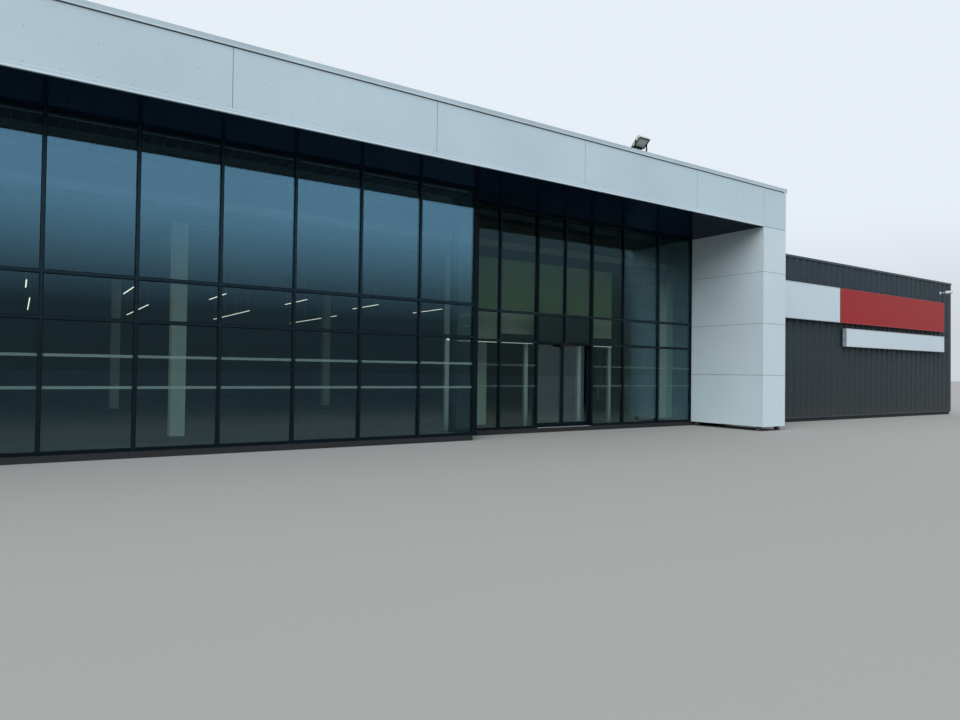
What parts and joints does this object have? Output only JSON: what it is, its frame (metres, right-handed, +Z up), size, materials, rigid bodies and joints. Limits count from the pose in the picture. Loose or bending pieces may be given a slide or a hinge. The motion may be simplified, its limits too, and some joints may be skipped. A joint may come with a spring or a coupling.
{
  "type": "supermarket building",
  "caption": "Single-storey supermarket building with a white panelled portal, glazed shop front, sliding entrance doors and ribbed dark walls.",
  "frame": {"origin": "middle of the footprint at ground level", "axes": "+X to the right seen from the street, +Y from the front to the back, +Z up"},
  "size_m": [39.8, 28.05, 7.5567],
  "materials": {
    "white_panel": "satin coated composite panel",
    "portal_cap": "satin folded sheet",
    "dark_cladding": "matt ribbed sheet",
    "dark_cap": "satin folded sheet",
    "black_frame": "satin black aluminium",
    "soffit": "glossy dark planks",
    "glazing": "clear double glazing with a cool tint",
    "silver": "satin anodised",
    "concrete": "power floated concrete",
    "roofing": "matt roofing sheet",
    "structure": "primed steel",
    "column": "painted casing",
    "bulkhead": "painted board",
    "white_sign": "plain lit face",
    "red_sign": "plain lit face",
    "lamp_body": "powder coated casting",
    "lamp_white": "powder coated"
  },
  "bodies": {
    "building": {"floor_slab": "concrete", "wing_front_wall": "dark_cladding", "right_wall": "dark_cladding", "back_wall": "dark_cladding", "left_wall": "dark_cladding", "left_front_wall": "dark_cladding", "corner_trims": "dark_cap", "flat_roof": "roofing", "wing_coping": "dark_cap", "side_copings": "dark_cap", "back_coping": "dark_cap", "portal_front_coping": "portal_cap", "portal_back_coping": "portal_cap", "portal_side_copings": "portal_cap", "fascia_frame": "structure", "portal_end_frames": "structure", "portal_back_frame": "structure", "portal_roof": "roofing", "fascia_panels": "white_panel", "fascia_trim": "white_panel", "portal_side_panels": "white_panel", "portal_back_panels": "white_panel", "soffit_planks": "soffit", "left_pier_core": "structure", "left_pier_panels": "white_panel", "right_pier_core": "structure", "right_pier_panels": "white_panel", "shopfront_frame": "black_frame", "shopfront_glass": "glazing", "corner_frame": "black_frame", "corner_glass": "glazing", "entrance_left_frame": "black_frame", "entrance_right_frame": "black_frame", "entrance_over_frame": "black_frame", "entrance_side_glass": "glazing", "entrance_over_glass": "glazing", "door_sill": "silver", "door_header": "black_frame", "edge_beam": "structure", "roof_beams": "structure", "hall_columns": "column", "lobby_bulkhead": "bulkhead", "lobby_posts": "silver", "white_sign_boxes": "white_sign", "red_sign_box": "red_sign", "floodlight_bracket": "lamp_body", "floodlight_head": "lamp_body", "wall_lamp": "lamp_white"},
    "left_door": {"left_door_leaf": "black_frame", "left_door_glass": "glazing"},
    "right_door": {"right_door_leaf": "black_frame", "right_door_glass": "glazing"}
  },
  "joints": [
    {"name": "left_door_slide", "type": "slide", "parent": "building", "child": "left_door", "axis": [-1, 0, 0], "range_m": [0, 0.95]},
    {"name": "right_door_slide", "type": "slide", "parent": "building", "child": "right_door", "axis": [1, 0, 0], "range_m": [0, 0.95]}
  ],
  "couplings": [
    {"joint": "right_door_slide", "follows": "left_door_slide", "ratio": 1}
  ]
}
